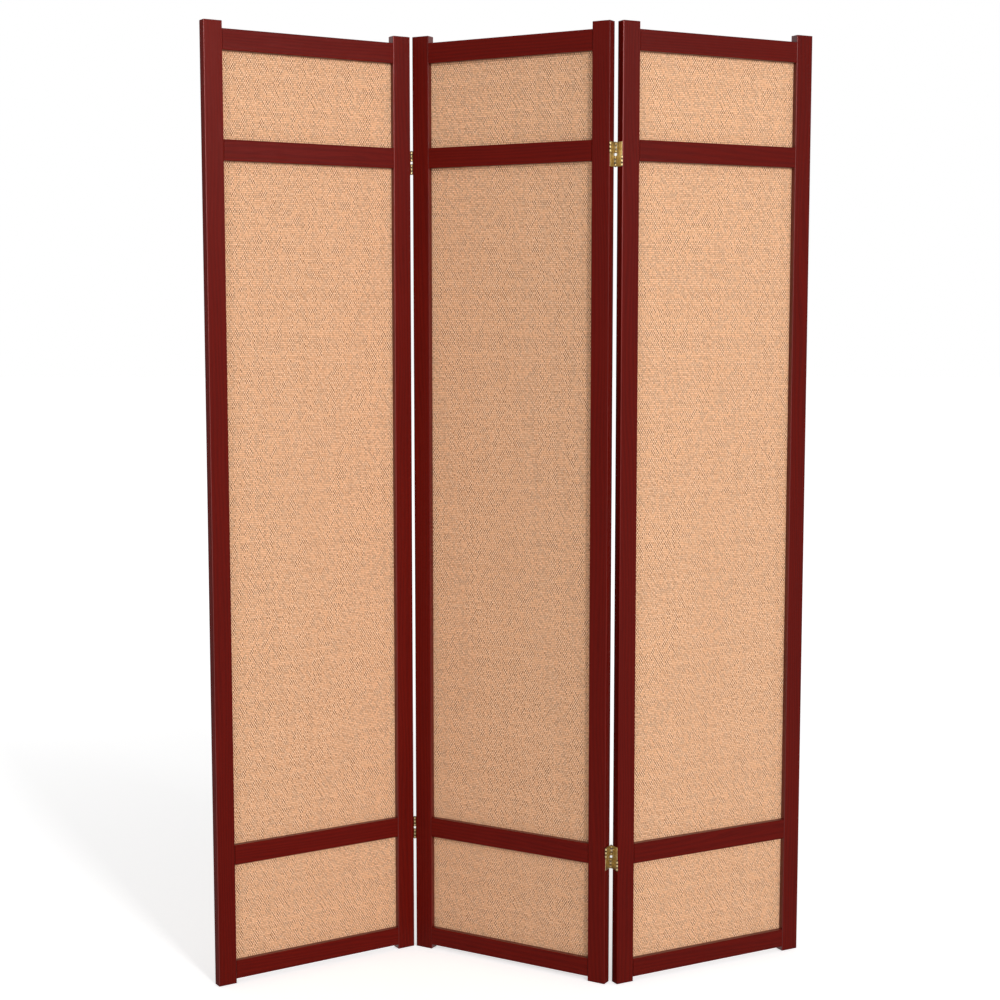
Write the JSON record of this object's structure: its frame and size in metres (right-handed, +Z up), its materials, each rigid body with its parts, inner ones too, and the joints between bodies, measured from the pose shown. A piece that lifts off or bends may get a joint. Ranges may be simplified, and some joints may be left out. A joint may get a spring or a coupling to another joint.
{
  "type": "folding screen",
  "caption": "Zigzag folding screen: lacquered wooden frames with woven jute fields, joined by brass hinges that fold both ways.",
  "frame": {"origin": "on the floor, in the middle of the standing screen's plan outline", "axes": "+X to the right along the standing screen, +Y to its back, +Z up"},
  "size_m": [1.1262, 0.2426, 1.778],
  "materials": {
    "wood": "red-brown stained, satin lacquer",
    "beads": "red-brown stained, satin lacquer",
    "cloth": "plain basket weave of natural jute",
    "brass": "plain, lightly polished",
    "pins": "plain, riveted ends",
    "screws": "plain, turned heads"
  },
  "bodies": {
    "left panel": {"left_outer_stile": "wood", "left_inner_stile": "wood", "left_bottom_rail": "wood", "left_lower_rail": "wood", "left_upper_rail": "wood", "left_top_rail": "wood", "left_bottom_cloth": "cloth", "left_main_cloth": "cloth", "left_top_cloth": "cloth", "left_bottom_beads": "beads", "left_main_beads": "beads", "left_top_beads": "beads", "left_fold_lower_hinge_left_leaf": "brass", "left_fold_upper_hinge_left_leaf": "brass", "left_fold_lower_hinge_lower_flap": "brass", "left_fold_upper_hinge_lower_flap": "brass", "left_hinge_pins": "pins", "left_hinge_screws": "screws"},
    "middle panel": {"middle_left_stile": "wood", "middle_right_stile": "wood", "middle_bottom_rail": "wood", "middle_lower_rail": "wood", "middle_upper_rail": "wood", "middle_top_rail": "wood", "middle_bottom_cloth": "cloth", "middle_main_cloth": "cloth", "middle_top_cloth": "cloth", "middle_bottom_beads": "beads", "middle_main_beads": "beads", "middle_top_beads": "beads", "left_fold_lower_hinge_right_leaf": "brass", "left_fold_upper_hinge_right_leaf": "brass", "left_fold_lower_hinge_upper_flap": "brass", "left_fold_upper_hinge_upper_flap": "brass", "right_fold_lower_hinge_left_leaf": "brass", "right_fold_upper_hinge_left_leaf": "brass", "right_fold_lower_hinge_upper_flap": "brass", "right_fold_upper_hinge_upper_flap": "brass", "middle_hinge_pins": "pins", "middle_hinge_screws": "screws"},
    "right panel": {"right_inner_stile": "wood", "right_outer_stile": "wood", "right_bottom_rail": "wood", "right_lower_rail": "wood", "right_upper_rail": "wood", "right_top_rail": "wood", "right_bottom_cloth": "cloth", "right_main_cloth": "cloth", "right_top_cloth": "cloth", "right_bottom_beads": "beads", "right_main_beads": "beads", "right_top_beads": "beads", "right_fold_lower_hinge_right_leaf": "brass", "right_fold_upper_hinge_right_leaf": "brass", "right_fold_lower_hinge_lower_flap": "brass", "right_fold_upper_hinge_lower_flap": "brass", "right_hinge_pins": "pins", "right_hinge_screws": "screws"}
  },
  "joints": [
    {"name": "left fold", "type": "hinge", "parent": "middle panel", "child": "left panel", "pos_m": [-0.19586, 0.10098, 0.8925], "axis": [0, 0, 1], "range_deg": [-62, 118]},
    {"name": "right fold", "type": "hinge", "parent": "middle panel", "child": "right panel", "pos_m": [0.18157, -0.0921, 0.8925], "axis": [0, 0, 1], "range_deg": [-58, 122]}
  ]
}
